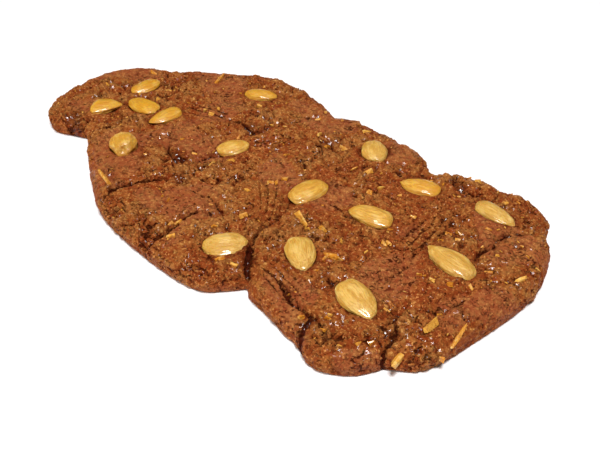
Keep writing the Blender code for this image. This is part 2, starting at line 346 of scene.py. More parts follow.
def rebuilt_dough():
    """A closed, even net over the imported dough, with one face underneath."""
    made = bpy.data.objects.new("baked_dough", nodes["dough"].data.copy())
    bpy.context.scene.collection.objects.link(made)
    body = bmesh.new()
    body.from_mesh(made.data)
    bmesh.ops.remove_doubles(body, verts=body.verts, dist=1e-6)
    body.to_mesh(made.data)
    body.free()
    remesh = made.modifiers.new("net", "REMESH")
    remesh.mode, remesh.voxel_size, remesh.use_smooth_shade = "VOXEL", VOXEL, True
    evened = made.modifiers.new("even out", "SMOOTH")
    evened.factor, evened.iterations = 0.5, 4
    graph = bpy.context.evaluated_depsgraph_get()
    mesh = bpy.data.meshes.new_from_object(made.evaluated_get(graph))
    made.modifiers.clear()
    made.data = mesh
    body = bmesh.new()
    body.from_mesh(mesh)
    under = [f for f in body.faces if all(v.co.z < UNDERSIDE for v in f.verts)]
    bmesh.ops.delete(body, geom=under, context="FACES")
    bmesh.ops.holes_fill(body, edges=[e for e in body.edges if e.is_boundary], sides=0)
    body.to_mesh(mesh)
    body.free()
    return made


dough = rebuilt_dough()
points = np.empty(len(dough.data.vertices) * 3)
dough.data.vertices.foreach_get("co", points)
points = points.reshape(-1, 3) / MM
print("net:", len(points), "points,", len(dough.data.polygons), "faces")

# %% Directions, and how free each point is to move
FOOT, FOOT_RISE = 0.8, 2.2  # mm: points below the foot stay, and those the rise above it move fully
normals = np.empty(len(points) * 3, dtype=np.float32)
dough.data.vertices.foreach_get("normal", normals)
normals = normals.reshape(-1, 3).astype(float)
flat = points[:, :2]
low_part = np.clip((points[:, 2] - FOOT) / FOOT_RISE, 0, 1)
upward = np.clip(normals[:, 2], 0, 1)


def ground(size, shift=0.0):
    """Smooth noise at each point, blotches about one size in mm across, roughly -1 to 1."""
    scale = 1 / size
    return np.array([noise.noise((x * scale + shift, y * scale, z * scale)) for x, y, z in points])


FAR, BATCH = 99.0, 4000


def distance_to(line, reach):
    """Distance in mm from each point to a line of steps, and how far along it (0 to 1) the nearest is."""
    found = np.full(len(points), FAR)
    along = np.zeros(len(points))
    low, high = line.min(0) - reach, line.max(0) + reach
    near = np.flatnonzero(((flat > low) & (flat < high)).all(1))
    for start in range(0, len(near), BATCH):
        part = near[start:start + BATCH]
        gaps = np.linalg.norm(flat[part][:, None] - line[None], axis=2)
        best = gaps.argmin(1)
        found[part] = gaps[np.arange(len(part)), best]
        along[part] = best / max(1, len(line) - 1)
    return found, along


print("share of points that face up:", round(float((upward > 0.7).mean()), 2))

# %% [markdown]
# ### Cracks and pits
#
# A crack's cross-section is a steep V with soft, slightly raised lips, where the two rolls of dough swelled
# against each other. Its depth fades at both ends and changes along the way. Two numbers are kept with the
# mesh for the colour later, which paints shade into the cracks and keeps glaze out of them, since light and
# glaze both miss the bottom of a crack: how deep each point has sunk, and how far it is from the nearest
# crack, counted in that crack's own widths.

# %% Opening the cracks
CRACK_REACH = 8.0
LIP_HEIGHT, LIP_OUT, LIP_WIDTH = 0.18, 2.8, 1.6  # share of the depth, half widths from the middle, mm
sunk = np.zeros(len(points))
lip = np.zeros(len(points))
from_crack = np.full(len(points), 6.0)
ragged, patchy = ground(2.6, 5.0), ground(8.0, 6.0)
for depth, half_width, line in crack_lines:
    gap, along = distance_to(line, CRACK_REACH)
    ends = np.clip(np.minimum(along, 1 - along) * 7 + 0.25, 0, 1)
    width = 0.85 * half_width * (1 + 0.7 * ragged)
    broken_up = np.clip(0.85 + 1.3 * ragged + 1.3 * patchy, 0.15, 1.25)
    opened = depth * ends * broken_up * np.exp(-((gap / np.clip(width, 0.5, None)) ** 1.5))
    sunk = np.maximum(sunk, opened)
    closed = 1.2 * (1 - ends) + 0.4 * np.clip(0.6 - broken_up, 0, 1) + 0.30 * (2.6 - depth)
    from_crack = np.minimum(from_crack, gap / (0.34 + 0.15 * depth) + closed)
    swelling = np.exp(-(((gap - LIP_OUT * half_width) / LIP_WIDTH) ** 2))
    lip = np.maximum(lip, LIP_HEIGHT * depth * ends * swelling)
wet = np.zeros(len(points))
for x, y, radius, depth in PITS:
    gap = np.hypot(flat[:, 0] - x, flat[:, 1] - y) * (1 + 0.5 * ragged)
    bowl = np.exp(-((gap / radius) ** 2))
    sunk = np.maximum(sunk, 0.6 * depth * bowl * (0.7 + 0.6 * ragged))
    wet = np.maximum(wet, np.exp(-((gap / (1.3 * radius)) ** 2)))
print("deepest crack:", round(float(sunk.max()), 1), "mm")

# %% [markdown]
# ### Lumps, wrinkles and crumbs
#
# Between the cracks the dough has lumps a fingertip wide, folds where it was stretched, small broken edges
# and holes where bubbles burst. Noise gives the lumps, at sizes from 24 mm down to 2 mm. Noise folded at its
# middle value gives level tops with sharp creases between them, and cells give the crackle of a dry crust.
# The folds are sine waves inside soft-edged patches, bent and swayed. They are 4 to 5 mm apart, as a net of
# 0.9 mm squares can't carry much finer ones. The dough is calm under the folds and beside each nut, where a
# thumb pressed.

# %% The folds
FOLD_HEIGHT = 0.75
# Middle x, y, half length, half width, direction in degrees, spacing, radius of their bend.
FOLDS = [(30, -20, 24, 15, 133.5, 4.4, 34), (112, 20, 34, 14, -87, 4.6, 900),
         (82, -62, 26, 13, -12, 4.2, 900), (-14, 26, 20, 14, 60, 4.6, 60), (-70, 20, 26, 14, 20, 5.0, 80)]


def folds():
    """The height in mm of the ridges at each point, and how much a patch of them covers it (0 to 1)."""
    height, cover = np.zeros(len(points)), np.zeros(len(points))
    for x, y, half_length, half_width, degrees, spacing, bend in FOLDS:
        a = math.radians(degrees)
        u = (flat[:, 0] - x) * math.cos(a) + (flat[:, 1] - y) * math.sin(a)
        v = (flat[:, 1] - y) * math.cos(a) - (flat[:, 0] - x) * math.sin(a)
        patch = np.exp(-((u / half_length) ** 2) - (v / half_width) ** 2)
        sway = ground(14, x) * 2.2 - u ** 2 / (2 * bend)
        height += patch * FOLD_HEIGHT * np.sin((v + sway) * 2 * math.pi / spacing)
        cover = np.maximum(cover, patch)
    return height, cover


folded, fold_cover = folds()
print("highest fold:", round(float(folded.max()), 2), "mm")

# %% Crackle and lumps
def crackle(size, shift):
    """How near each point is in mm to a border between random cells of one size, and its cell's level."""
    near, level = np.empty(len(points)), np.empty(len(points))
    for i, (x, y, z) in enumerate(points):
        place = Vector((x, y, z)) / size
        place += noise.noise_vector(place * 1.9 + Vector((shift, 0, 0))) * 0.45
        distances, centres = noise.voronoi(place + Vector((shift, shift, 0)))
        near[i] = (distances[1] - distances[0]) * size
        level[i] = noise.cell(centres[0] * 31.7)
    return near, level


def lumpy(size, shift, height, steepness):
    """Lumps with level tops and sharp creases between them: their height in mm, and 0 at a crease."""
    level = np.abs(ground(size, shift) + 0.25 * ground(size / 2.7, shift + 20))
    return height * np.minimum(level * steepness, 1.0), level


lumps = 0.50 * ground(24, 1.0) + 0.34 * ground(9, 2.0)
calm = np.clip(0.85 - 1.6 * ground(30, 11.0), 0.35, 1.15)
smooth_skin = np.clip((0.95 - calm) / 0.45, 0, 1)
border, level = crackle(8.5, 3.0)
crackled = np.clip(ground(13, 12.0) * 4 + 0.35, 0, 1)
small_cracks = np.exp(-((border / 0.62) ** 2)) * crackled
small_border, small_level = crackle(3.4, 8.0)
rubble = 0.65 * (level - 0.5) + 0.32 * (small_level - 0.5) * np.clip(small_border / 0.5, 0, 1)
big, from_big = lumpy(11, 3.0, 1.35, 4.5)
small, from_small = lumpy(5.2, 14.0, 0.8, 4.0)
crumbs = 0.75 * ground(3.2, 4.0) + 0.75 * ground(1.9, 6.0)
burst = np.clip(ground(2.2, 7.0) - 0.30, 0, None) * (ground(12, 8.0) > -0.15)
some_big = np.clip(ground(26, 31.0) * 2.5 + 0.65, 0, 1)
some_small = np.clip(ground(15, 32.0) * 3 + 0.6, 0, 1)
print("share of smooth skin:", round(float(smooth_skin.mean()), 2))


# %% How far each point is from a nut
def gap_to_nut(spots, name):
    """Distance in mm from each spot to one nut's outline seen from above, negative under the nut."""
    placed, sizes = nut_frames[name]
    back = np.array(placed.inverted())
    local = (spots * MM) @ back[:3, :3].T + back[:3, 3]
    return (np.hypot(local[:, 0] / (sizes[0] / 2), local[:, 1] / (sizes[1] / 2)) - 1) * sizes[1] / 2 / MM


def gap_to_nuts(spots):
    """The same to whichever nut is nearest."""
    return np.minimum.reduce([gap_to_nut(spots, name) for name in NUT_NAMES])


to_nut = gap_to_nuts(points)
print("points under a nut:", int((to_nut < 0).sum()))

# %% Moving the points
DEEPEST = 2.2  # mm over the table: no crack goes below this
calm *= 1 - 0.65 * fold_cover
calm *= 1 - 0.75 * np.exp(-((np.clip(to_nut - 0.5, 0, None) / 1.8) ** 2))
hug = 0.35 * np.exp(-((to_nut / 1.5) ** 2)) * (to_nut > -0.6)
rough = 0.9 * some_big * big + 0.85 * some_small * small + 0.28 * crumbs + rubble - 2.2 * burst
creases = np.maximum(some_big * np.clip(1 - from_big / 0.11, 0, 1),
                     some_small * np.clip(1 - from_small / 0.13, 0, 1))
relief = (hug + lumps + calm * (rough - 1.3 * creases) - 0.6 + folded + lip
          + 0.6 * wet * ground(1.9, 51.0))
from_crack = np.minimum.reduce([
    from_crack,
    from_big / 0.045 + 0.45 + 2.0 * (1 - some_big * calm),
    from_small / 0.085 + 1.00 + 2.0 * (1 - some_small * calm),
    border / 0.6 + 0.5 + 3.0 * (1 - crackled),
    0.7 + 5.0 * np.clip(0.55 + folded, 0, 1),
])
sunk = np.maximum(sunk, 1.25 * small_cracks * calm)
side = 1 - upward
ragged_side = 0.7 * ground(5.0, 41.0) + 0.45 * ground(2.4, 43.0)
move = relief * (0.4 + 0.6 * upward) + side * ragged_side * 0.8 - 0.25
moved = points + normals * (move * low_part)[:, None]
room = np.clip(moved[:, 2] - DEEPEST, 0, None)
moved[:, 2] -= np.minimum(sunk, room) * np.clip(1.4 * upward, 0.25, 1) * low_part
moved[:, :2] -= normals[:, :2] * (np.minimum(sunk, 3.0) * 0.55 * side * low_part)[:, None]
moved[:, 2] = np.clip(moved[:, 2], 0, None)
dough.data.vertices.foreach_set("co", (moved * MM).ravel())
dough.data.update()
print("height now:", round(float(moved[:, 2].max()), 1), "mm")

# %% Keeping what the finish needs on the mesh
def keep(mesh, name, values):
    """Stores one number for each point of a mesh."""
    mesh.attributes.new(name, "FLOAT", "POINT").data.foreach_set("value", np.asarray(values, np.float32))


turned = np.empty(len(points) * 3, dtype=np.float32)
dough.data.vertices.foreach_get("normal", turned)
steepness = turned.reshape(-1, 3)[:, 2]
near_nut = gap_to_nuts(moved)
shade = np.maximum(np.maximum(sunk / 3.2, 0.45 * creases * calm), burst * 2.0)
between_crumbs = np.clip(-crumbs - 0.25, 0, 1)
# sunk marks where shade is painted: cracks, pits, burst holes, creases and the gaps between crumbs
keep(dough.data, "sunk", np.clip(shade + 0.25 * between_crumbs, 0, 1))
keep(dough.data, "from_crack", np.clip(from_crack, 0, 6))
# how raised each point is: it places painted light on crests and painted shade in hollows
keep(dough.data, "raised", np.clip(0.5 + 0.35 * (calm * rough - 0.5), 0, 1))
# wet holds the syrup in the pits and a ring round each nut; that ring is glossy, and its darker colour is
# painted shade
keep(dough.data, "wet", np.clip(wet + np.exp(-((near_nut / 1.6) ** 2)) * 0.5, 0, 1))
keep(dough.data, "smooth", smooth_skin)
# how level each point is: it keeps glaze off the sides, and tints the tops yellower as painted light
keep(dough.data, "on_top", np.clip((steepness - 0.40) / 0.30, 0, 1))
# painted shade in a thin line round each nut, where it meets the dough
keep(dough.data, "shade_by_nut", np.exp(-((np.clip(near_nut, 0, None) / 0.9) ** 2)))
print("kept with the mesh:", [a.name for a in dough.data.attributes if a.data_type == "FLOAT"])

# %% [markdown]
# ### The finish of the dough
#
# Baked speculaas is a warm mid brown, never one colour. Crumbly dough is yellower and full of light and dark
# specks; where it was pressed smooth it is plainer, and its mauve tint there is a painted sheen of the glaze.
# Painted light makes crumbs that stand up lighter; painted shade makes hollows dark red-brown and the bottoms
# of the cracks almost black, and darkens tiny pits, small holes, thin cracks and a line round each nut and
# bit.
# Here and there syrup has made the skin darker, redder and glossy; a darker ring of it round each nut is
# painted shade. The colour is built like coats of paint: a mottled ground, then one coat after another, each
# with its own cover, from clouds of noise and from the numbers kept on the mesh. A last tint makes light
# clouds, crests and level tops a bit yellower and the rest a bit redder, which is partly painted light and
# shade. The grain too fine for the net is a bump: noise for the crumb, small holes and thin winding cracks.

# %% The dough's colours
GROUND_DARK, GROUND_LIGHT = (0.320, 0.074, 0.0140), (0.454, 0.153, 0.0340)
# the mauve of smooth skin is a painted sheen of the glaze
SMOOTH, CLOUD = (0.302, 0.096, 0.0425), (0.450, 0.163, 0.0380)
# painted shade for the hollows and painted light for the crests
HOLLOW_SHADE, CREST_LIGHT = (0.215, 0.025, 0.0034), (0.505, 0.198, 0.0580)
LIGHT_GRAIN, DARK_GRAIN = (0.740, 0.345, 0.1000), (0.180, 0.024, 0.0034)
# painted shade for tiny pits, holes and thin cracks, and the colour of syrup
FLECK_SHADE, HOLE_SHADE, SYRUP_AND_SHADE = (0.150, 0.015, 0.0020), (0.100, 0.009, 0.0012), (0.160, 0.019, 0.0024)
# painted shade: in cracks, almost black in their cores, and in a line round each bit
SUNK_SHADE, CRACK_CORE_SHADE, BIT_SHADE = (0.085, 0.0080, 0.0010), (0.070, 0.0065, 0.0008), (0.100, 0.011, 0.0014)
# the last tint, partly painted light and shade
SHADED_REDDER, LIT_YELLOWER = (1.0, 0.90, 0.91), (1.0, 1.11, 1.06)
RED_SHEEN = (1.0, 0.42, 0.24, 1.0)
print("dough colours ready")


# %% The dough's material
def dough_finish():
    """Mottled brown with patches of glaze, painted light on crests, and painted shade in hollows, cracks,
    holes and thin winding cracks.
    """
    made = Material("baked spiced dough")
    sunk, wet, shade_by_nut = made.attribute("sunk"), made.attribute("wet"), made.attribute("shade_by_nut")
    on_top = made.attribute("on_top")
    sway = made.node("ShaderNodeTexNoise", {}, {"Vector": made.place, "Scale": 1 / (3.5 * MM)}, "Color")
    swayed = made.node("ShaderNodeVectorMath", {"operation": "MULTIPLY_ADD"},
                       {0: sway, 1: (0.7 * MM,) * 3, 2: made.place})
    smooth = (made.attribute("smooth") + (made.noise(9 * MM, 2.0) - 0.5) * 1.2).between(0.45, 0.85)
    crumbly = 1 - smooth * 0.45
    mottle = made.noise(3.6 * MM, 4.0, 0.65)
    grain = made.noise(1.3 * MM, 3.0, 0.6)
    flecks = made.noise(1.0 * MM, 1.5, 0.5, swayed)
    cloud = made.noise(11 * MM, 3.0).between(0.50, 0.66)
    raised = made.attribute("raised") + (mottle - 0.5) * 0.8

    def ragged_lines(size, width, share):
        """Thin winding lines where a rough noise crosses its middle, kept only in some places."""
        level = made.noise(size, 3.0, 0.60, swayed)
        off_middle = made.node("ShaderNodeMath", {"operation": "ABSOLUTE"}, {0: level - 0.5})
        line = 1 - off_middle.between(0.0, width)
        return line * made.noise(1.3 * size, 2.0, 0.6).between(0.62 - share, 0.70 - share)

    thin = (ragged_lines(7 * MM, 0.016, 0.12) + ragged_lines(3.0 * MM, 0.024, 0.08)).clamp()
    bubbles = made.node("ShaderNodeTexVoronoi", {}, {"Vector": swayed, "Scale": 1 / (1.9 * MM)}, "Distance")
    holes = (1 - bubbles.between(0.10, 0.30)) * made.noise(3.1 * MM, 1.0).between(0.48, 0.58)
    torn = made.attribute("from_crack") + made.noise(1.8 * MM, 3.0, 0.60) * 3.0
    core = 1 - torn.between(1.9, 2.7)

    colour = made.paint(
        made.mix(mottle.between(0.34, 0.66), GROUND_DARK, GROUND_LIGHT),
        # smooth skin is plainer; its mauve tint is a painted sheen of the glaze
        (smooth * 0.44, SMOOTH),
        (cloud * 0.42, CLOUD),
        # painted shade in the hollows and painted light on the crests, read off how raised the dough is
        ((1 - raised.between(0.15, 0.50)) * crumbly * 0.40, HOLLOW_SHADE),
        (raised.between(0.50, 0.85) * crumbly * 0.40, CREST_LIGHT),
        (grain.between(0.58, 0.64) * crumbly * 0.8, LIGHT_GRAIN),
        ((1 - grain.between(0.34, 0.58)) * crumbly * 0.40, DARK_GRAIN),
        # painted shade in tiny pits, small holes and thin winding cracks, where the bump dents the skin
        ((1 - flecks.between(0.27, 0.36)) * crumbly * 0.44, FLECK_SHADE),
        (((holes * 0.35 + thin * 0.7) * crumbly).clamp(), HOLE_SHADE),
        # syrup darkens the pits; round each nut the same colour is painted shade
        (wet * 0.75, SYRUP_AND_SHADE),
        # painted shade in the cracks, pits, creases, gaps between crumbs and a thin line round each nut,
        # almost black in the crack cores
        ((sunk.between(0.10, 0.72) * 0.88 + shade_by_nut * 0.35).clamp(), SUNK_SHADE),
        (core * 0.92, CRACK_CORE_SHADE),
        # painted shade: a dark line of dough round each chopped bit
        (made.attribute("shade_by_bit") * 0.7, BIT_SHADE),
    )
    # partly painted light and shade: level tops and raised crumbs are tinted yellower as lit dough, sides and
    # hollows redder as shaded dough; clouds of noise vary the tone at random
    lit_and_yellow = made.noise(24 * MM, 2.0) * 0.25 + mottle * 0.5 + raised * 0.4 + on_top * 0.2
    tint = made.mix(lit_and_yellow.between(0.50, 0.94), SHADED_REDDER, LIT_YELLOWER)
    colour = made.mix(1.0, colour, tint, "MULTIPLY")

    shiny = made.noise(2.0 * MM, 2.0).between(0.48, 0.56)
    glaze = made.noise(17 * MM, 3.0).between(0.41, 0.55) * shiny * 0.7 * (1 - core) * on_top
    syrup = wet.between(0.25, 0.75) * (0.4 + 0.6 * shiny) * (0.4 + 0.6 * on_top)
    gloss = (glaze + syrup).clamp()
    crumb = mottle * (1.0 + 1.1 * crumbly) + grain * 0.65 * crumbly + flecks * 0.45 * crumbly
    normal = made.bump(crumb - holes * 0.9 - thin * 0.7 - core * 1.2, 1.6 * MM)
    coat = gloss * (0.7 + 0.3 * wet)
    made.set(Base_Color=colour, Roughness=0.68 - 0.40 * gloss, Coat_Weight=coat, Normal=normal)
    made.set(Specular_IOR_Level=0.24, Specular_Tint=RED_SHEEN, Coat_Roughness=0.12)
    return made.made


dough.data.materials.clear()
dough.data.materials.append(dough_finish())
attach(dough, "root")
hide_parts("dough")
print("dough done")

# %% [markdown]
# ## The nuts
#
# A blanched almond has lost its brown skin. It is ivory turned golden by the oven, fuller at one end, with
# shallow grooves that run along it and fade towards its ends. A ready-made sphere is too even for it, so it
# is built ring by ring from the round end to the tip. Two powers set how blunt each end is, a lean bends it a
# little to one side, and noise on a ball makes it uneven without a seam. It takes its length, width and place
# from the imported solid, but it lies flatter and half sunk. Its lower half drops almost straight, so that the
# dough meets a clean edge. One nut is rounder, fuller and less grooved: the hazelnut.

# %% The nuts' own shapes
RINGS, SIDES = 56, 64
AWAY = -toward(VIEW_AZIMUTH, 0)
AWAY_SHIFT, AWAY_STRETCH = 0.6 * MM, 1.14
STEEP_WALL = 0.35  # power of the cosine below the widest line: the nearer 0, the steeper
KINDS = {
    # kind: flatness, waviness, nicks, depth of the grooves, height of its middle over the dough
    "almond": (0.70, 0.09, 0.022, 0.080, 0.15 * MM),
    "hazelnut": (0.95, 0.16, 0.05, 0.020, 1.2 * MM),
}
NUTS = {
    # name: turned round, power of the round end, power of the tip, lean, own direction in degrees, toast
    "almond_base_middle": (True, 0.46, 0.66, 0.05, None, "pale"),
    "almond_chest_middle": (False, 0.40, 0.44, -0.10, None, "mid"),
    "almond_chest_right": (True, 0.44, 0.62, 0.10, None, "gold"),
    "almond_foot_left": (False, 0.40, 0.58, 0.08, None, "pale"),
    "almond_foot_right": (True, 0.46, 0.60, -0.06, None, "pale"),
    "almond_head_back": (False, 0.42, 0.48, 0.10, None, "gold"),
    "almond_head_front": (True, 0.40, 0.78, 0.10, None, "gold"),
    "almond_head_left": (False, 0.34, 0.78, 0.22, None, "gold"),
    "almond_head_middle": (False, 0.42, 0.58, 0.05, None, "gold"),
    "almond_skirt_left": (False, 0.44, 0.66, 0.10, -41.5, "pale"),
    "almond_skirt_middle": (False, 0.40, 0.56, -0.08, None, "mid"),
    "almond_skirt_right": (False, 0.38, 0.62, 0.15, None, "gold"),
    "almond_waist_left": (True, 0.42, 0.48, -0.04, None, "pale"),
    "almond_waist_middle": (False, 0.48, 0.52, 0.08, None, "mid"),
    "almond_waist_right": (False, 0.42, 0.52, 0.00, 133.5, "pale"),
    "hazelnut_chest_left": (False, 0.46, 0.50, 0.04, None, "brown"),
}


print("nuts to build:", len(NUTS))


# %% Building a nut
def girth(t, butt_power, tip_power):
    """Relative girth from the round end at -1 to the tip at +1, with 1 as the widest."""
    def swell(t):
        return ((1 + t) / 2) ** butt_power * ((1 - t) / 2) ** tip_power

    return swell(t) / swell((butt_power - tip_power) / (butt_power + tip_power))


RING_NEAR, RING_FAR, TOP_SIDE = 0.4, 2.6, 6.0


def surface_near(name):
    """The mean height in mm of the dough's skin in a narrow ring round a nut."""
    gap = gap_to_nut(moved, name)
    return float(moved[(gap > RING_NEAR) & (gap < RING_FAR) & (moved[:, 2] > TOP_SIDE), 2].mean())


def skinned(rows, body):
    """Joins rings of points into faces, with a fan at each end, where a ring is one point."""
    for lower, upper in zip(rows, rows[1:]):
        for k in range(SIDES):
            corners = [lower[k % len(lower)], lower[(k + 1) % len(lower)],
                       upper[(k + 1) % len(upper)], upper[k % len(upper)]]
            corners = list(dict.fromkeys(corners))
            if len(corners) > 2:
                body.faces.new(corners)


def build_nut(name, seed):
    """One nut as a mesh in place: half sunk, flatter than it is wide."""
    placed, (length, width, thickness) = nut_frames[name]
    turned, butt_power, tip_power, lean, direction, _ = NUTS[name]
    flatness, waviness, nicks, groove_depth, lift = KINDS[name.split("_")[0]]
    body = bmesh.new()
    rows, grain, rim = [], [], []
    for ring in range(RINGS + 1):
        t = -math.cos(math.pi * ring / RINGS)
        inside = 0 < ring < RINGS
        size = girth(t, butt_power, tip_power) if inside else 0.0
        row = []
        for k in range(SIDES if inside else 1):
            turn = 2 * math.pi * k / SIDES
            c, d = math.cos(turn), math.sin(turn)
            ball = Vector((c, d, 0)) * math.sqrt(max(0.0, 1 - t * t)) + Vector((0, 0, t))
            uneven = noise.noise(ball * 1.6 + Vector((0, 0, seed * 7.3))) * waviness
            uneven += noise.noise(ball * 4.2 + Vector((0, seed * 4.1, 0))) * nicks
            line = noise.noise((c * 5.2, d * 5.2, t * 0.7 + seed * 3.1))
            carve = groove_depth * (line - 0.25) * math.sin(math.pi * (t + 1) / 2) ** 0.5
            reach = size * (1 + uneven + carve)
            side = c if d > 0 else math.copysign(abs(c) ** STEEP_WALL, c)
            row.append(body.verts.new((
                (t * (1 + uneven) + lean * c * (1 - t * t)) * length / 2,
                side * reach * width / 2,
                d * reach * thickness / 2 * flatness,
            )))
            grain.append((c * size, d * size, t + seed * 2.7))
            edge = math.exp(-((d / 0.30) ** 2)) * 0.6 if size else 1.0
            rim.append(min(1.0, edge + math.exp(-(((t - 1) / 0.14) ** 2)) * 0.9))
        rows.append(row)
    skinned(rows, body)
    turned_by = Matrix.Rotation(math.pi if turned else 0.0, 4, "Z")
    facing = placed.to_3x3().to_4x4()
    if direction is not None:
        facing = Matrix.Rotation(math.radians(direction), 4, "Z")
    centre = placed.translation.copy()
    centre.z = surface_near(name) * MM + lift
    centre += AWAY * AWAY_SHIFT
    stretch = Matrix.Scale(AWAY_STRETCH, 4, AWAY)
    body.transform(Matrix.Translation(centre) @ stretch @ facing @ turned_by)
    bmesh.ops.recalc_face_normals(body, faces=body.faces)
    mesh = bpy.data.meshes.new("baked_" + name)
    body.to_mesh(mesh)
    body.free()
    mesh.shade_smooth()
    stored = mesh.attributes.new("grain", "FLOAT_VECTOR", "POINT")
    stored.data.foreach_set("vector", np.array(grain, np.float32).ravel())
    keep(mesh, "rim", rim)
    made = bpy.data.objects.new("baked_" + name, mesh)
    bpy.context.scene.collection.objects.link(made)
    return made


print("points in a nut:", (RINGS - 1) * SIDES + 2)

# %% The nuts' finish
PALE, PALE_TOASTED = (0.750, 0.465, 0.100), (0.780, 0.424, 0.028)
DEEP, DEEP_TOASTED = (0.614, 0.322, 0.043), (0.662, 0.288, 0.014)
NUT_LINE, IVORY = (0.50, 0.225, 0.024), (0.820, 0.570, 0.170)
NUT_SPOT, NUT_RIM = (0.42, 0.18, 0.025), (0.56, 0.230, 0.020)


def between_colours(first, second, share, lightness):
    """The colour at a share of the way from the first to the second, made lighter or darker."""
    return tuple((a + (b - a) * share) * lightness for a, b in zip(first, second))


def nut_finish(name, toasted, lightness, coat):
    """Ivory to gold with fine lines along the nut, browner at its rim and tip."""
    made = Material(name)
    grain = made.node("ShaderNodeAttribute", {"attribute_name": "grain"}, {}, "Vector")

    def along(around, lengthwise, detail=2.0):
        """Lines from the tip to the round end: many around the nut, few along it."""
        squeeze = (around, around, lengthwise)
        place = made.node("ShaderNodeVectorMath", {"operation": "MULTIPLY"}, {0: grain, 1: squeeze})
        return made.node("ShaderNodeTexNoise", {}, {"Vector": place, "Scale": 1.0, "Detail": detail})

    lines, fine = along(5.5, 0.9, 3.0), along(14, 1.6, 3.0)
    blush, spots = along(1.3, 1.6), along(7, 9)
    pale = between_colours(PALE, PALE_TOASTED, toasted, lightness)
    deep = between_colours(DEEP, DEEP_TOASTED, toasted, lightness)
    colour = made.paint(
        made.mix(lines.between(0.36, 0.60), deep, pale),
        ((1 - fine.between(0.36, 0.50)) * 0.6, NUT_LINE),
        (blush.between(0.50, 0.60) * 0.7, deep),
        ((1 - blush.between(0.32, 0.48)) * (0.6 - 0.35 * toasted), IVORY),
        (spots.between(0.62, 0.74) * 0.3, NUT_SPOT),
        (made.attribute("rim") * (0.15 + 0.4 * toasted), NUT_RIM),
    )
    normal = made.bump(lines * 0.8 + fine * 0.6 + spots * 0.4, 0.8 * MM)
    made.set(Base_Color=colour, Roughness=0.30 + 0.25 * fine, Normal=normal)
    made.set(Coat_Weight=coat, Coat_Roughness=0.15, Specular_IOR_Level=0.40)
    made.set(Subsurface_Weight=0.25, Subsurface_Radius=(1.0, 0.5, 0.2), Subsurface_Scale=1.8 * MM)
    return made.made


print("nut colours ready")

# %% Placing the nuts
# How toasted, how light and how glossy each toast is.
TOASTS = {"pale": (0.0, 1.0, 1.0), "mid": (0.5, 1.0, 1.0), "gold": (1.0, 1.0, 1.0), "brown": (0.5, 0.90, 0.3)}
FINISHES = {toast: nut_finish("toasted nut " + toast, *values) for toast, values in TOASTS.items()}
for seed, name in enumerate(NUT_NAMES, start=1):
    piece = build_nut(name, seed)
    piece.data.materials.append(FINISHES[NUTS[name][-1]])
    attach(piece, "root")
    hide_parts(name)
print("nuts:", len(NUT_NAMES))

# %% [markdown]
# ## Chopped nuts and crumbs
#
# Chopped almonds went into the dough, so slivers and splinters of nut show all over its skin: sharp-edged
# bits from 1 to 17 mm long, sunk to different depths. Each starts as the corners of a small box, two or three
# rings of four, narrower at the top like a roof and tapered at the ends. Every corner is knocked about at
# random, and the convex hull of them all is the bit, flat-faced like a knife's cut. All the bits are joined
# into one mesh. The larger ones have places of their own; the smallest are scattered by a seeded draw,
# and only where the skin is nearly level, because a bit on a steep side would stick out like a thorn.

